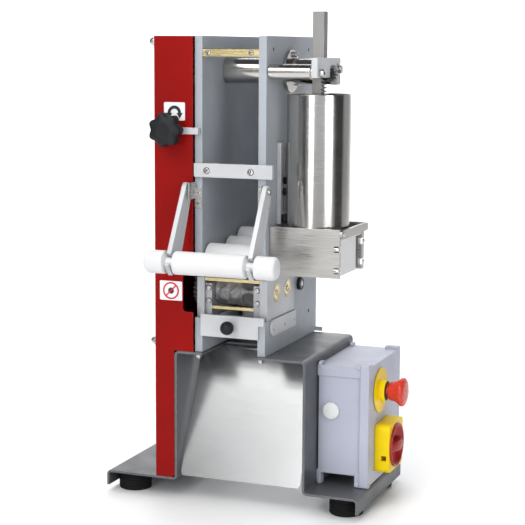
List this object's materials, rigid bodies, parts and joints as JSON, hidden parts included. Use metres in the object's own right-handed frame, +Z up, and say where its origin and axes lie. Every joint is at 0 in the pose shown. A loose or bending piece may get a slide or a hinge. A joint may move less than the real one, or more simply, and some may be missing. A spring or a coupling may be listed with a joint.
{
  "type": "dough sheeter",
  "caption": "Bench-top dough sheeter for filled pasta: upright plates with feed rollers and mould drums, a rack-driven filling cylinder, a swing-out rolling pin and a switch box.",
  "frame": {"origin": "middle of the machine's footprint, on the bench", "axes": "+Z up, -Y towards the operator (the side with the rolling pin and the outlet), +X to the operator's right, where the filling cylinder and the switch box are"},
  "size_m": [0.396, 0.2804, 0.652],
  "materials": {
    "stand_paint": "satin powder coat, mid grey",
    "plate_paint": "fine-textured light grey coat",
    "cover_paint": "satin red powder coat",
    "zinc": "zinc plated",
    "polished_steel": "turned and polished stainless steel",
    "brushed_plate": "brushed stainless steel",
    "brass": "machined, pale",
    "cast_alloy": "bead-blasted aluminium",
    "white_plastic": "turned food-grade plastic",
    "black_plastic": "moulded",
    "black_steel": "blackened steel",
    "rubber": "moulded",
    "box_plastic": "moulded, blue-grey",
    "yellow_plastic": "moulded",
    "red_plastic": "moulded"
  },
  "bodies": {
    "frame": {"stand": "stand_paint", "foot_1": "rubber", "foot_2": "rubber", "foot_3": "rubber", "foot_4": "rubber", "chute": "polished_steel", "front_roller_shaft": "polished_steel", "middle_roller_shaft": "polished_steel", "rear_roller_shaft": "polished_steel", "support_tube": "polished_steel", "stay_rod": "polished_steel", "filling_cylinder": "polished_steel", "left_side_plate": "plate_paint", "right_side_plate": "plate_paint", "back_panel": "plate_paint", "cross_bar": "plate_paint", "mould_guide_bar": "plate_paint", "adjuster_pointer": "plate_paint", "head_plate": "plate_paint", "brass_guide_bar": "brass", "gear_cover": "cover_paint", "cover_stud_1": "zinc", "cover_stud_2": "zinc", "cover_stud_3": "zinc", "cover_stud_4": "zinc", "left_hinge_bracket": "zinc", "right_hinge_bracket": "zinc", "slotted_rail": "zinc", "cable_gland": "black_plastic", "filler_housing": "white_plastic", "gearmotor": "cast_alloy", "filler_front_plate": "brushed_plate", "filler_rear_plate": "brushed_plate", "switch_box": "box_plastic", "switch_box_lid": "box_plastic", "stop_collar": "yellow_plastic", "main_switch_base": "yellow_plastic"},
    "pin_arms": {"left_pin_arm": "plate_paint", "right_pin_arm": "plate_paint"},
    "rolling_pin": {"rolling_pin": "white_plastic"},
    "adjuster": {"adjuster_knob": "black_plastic"},
    "front_roller": {"front_feed_roller": "white_plastic"},
    "middle_roller": {"middle_feed_roller": "white_plastic"},
    "rear_roller": {"rear_feed_roller": "white_plastic"},
    "mould": {"left_mould_cheek": "cast_alloy", "right_mould_cheek": "cast_alloy", "upper_scraper": "brass", "lower_scraper": "brass", "mould_front_panel": "plate_paint", "panel_knob": "black_plastic"},
    "front_drum": {"front_mould_drum": "cast_alloy"},
    "rear_drum": {"rear_mould_drum": "cast_alloy"},
    "drive": {"drive_gear": "cast_alloy"},
    "plunger": {"rack": "brushed_plate", "piston": "white_plastic"},
    "pinion": {"rack_pinion": "black_steel"},
    "filler_shaft": {"filler_drive_shaft": "polished_steel"},
    "latch": {"latch_bar": "brushed_plate"},
    "stop": {"stop_button": "red_plastic"},
    "main_switch": {"main_switch_handle": "red_plastic"}
  },
  "joints": [
    {"name": "pin_arms_swing", "type": "hinge", "parent": "frame", "child": "pin_arms", "pos_m": [-0.018, -0.07625, 0.4235], "axis": [-1, 0, 0], "range_deg": [0, 90]},
    {"name": "rolling_pin_spin", "type": "hinge", "parent": "pin_arms", "child": "rolling_pin", "pos_m": [-0.018, -0.12525, 0.333], "axis": [1, 0, 0], "continuous": true},
    {"name": "adjuster_turn", "type": "hinge", "parent": "frame", "child": "adjuster", "pos_m": [-0.0974, -0.08725, 0.4995], "axis": [0, 1, 0], "range_deg": [-150, 150]},
    {"name": "front_roller_spin", "type": "hinge", "parent": "frame", "child": "front_roller", "pos_m": [-0.0184, -0.04025, 0.3305], "axis": [1, 0, 0], "continuous": true},
    {"name": "middle_roller_spin", "type": "hinge", "parent": "frame", "child": "middle_roller", "pos_m": [-0.0184, 0.02875, 0.3321], "axis": [1, 0, 0], "continuous": true},
    {"name": "rear_roller_spin", "type": "hinge", "parent": "frame", "child": "rear_roller", "pos_m": [-0.0184, 0.07075, 0.3405], "axis": [1, 0, 0], "continuous": true},
    {"name": "mould_slide", "type": "slide", "parent": "frame", "child": "mould", "axis": [0, -1, 0], "range_m": [0, 0.12]},
    {"name": "drive_spin", "type": "hinge", "parent": "frame", "child": "drive", "pos_m": [-0.076, 0.06575, 0.2845], "axis": [1, 0, 0], "continuous": true},
    {"name": "rear_drum_spin", "type": "hinge", "parent": "mould", "child": "rear_drum", "pos_m": [-0.02, 0.02175, 0.2845], "axis": [1, 0, 0], "continuous": true},
    {"name": "front_drum_spin", "type": "hinge", "parent": "mould", "child": "front_drum", "pos_m": [-0.02, -0.01825, 0.2845], "axis": [1, 0, 0], "continuous": true},
    {"name": "plunger_slide", "type": "slide", "parent": "frame", "child": "plunger", "axis": [0, 0, 1], "range_m": [0, 0.15]},
    {"name": "pinion_spin", "type": "hinge", "parent": "frame", "child": "pinion", "pos_m": [0.0958, -0.00125, 0.571], "axis": [0, 1, 0], "range_deg": [-2, 1148]},
    {"name": "filler_shaft_spin", "type": "hinge", "parent": "frame", "child": "filler_shaft", "pos_m": [-0.053, 0.02375, 0.575], "axis": [1, 0, 0], "range_deg": [-2, 1148]},
    {"name": "latch_swing", "type": "hinge", "parent": "frame", "child": "latch", "pos_m": [0.13, -0.04625, 0.37], "axis": [1, 0, 0], "range_deg": [0, 95]},
    {"name": "stop_press", "type": "slide", "parent": "frame", "child": "stop", "axis": [-1, 0, 0], "range_m": [0, 0.004], "stiffness_N_per_m": 800},
    {"name": "main_switch_turn", "type": "hinge", "parent": "frame", "child": "main_switch", "pos_m": [0.177, 0.03975, 0.0785], "axis": [1, 0, 0], "range_deg": [0, 90]}
  ],
  "couplings": [
    {"joint": "rear_drum_spin", "follows": "drive_spin", "ratio": -1.2},
    {"joint": "front_drum_spin", "follows": "drive_spin", "ratio": 1.2},
    {"joint": "pinion_spin", "follows": "plunger_slide", "rad_per_m": 133.33},
    {"joint": "filler_shaft_spin", "follows": "plunger_slide", "rad_per_m": 133.33}
  ]
}
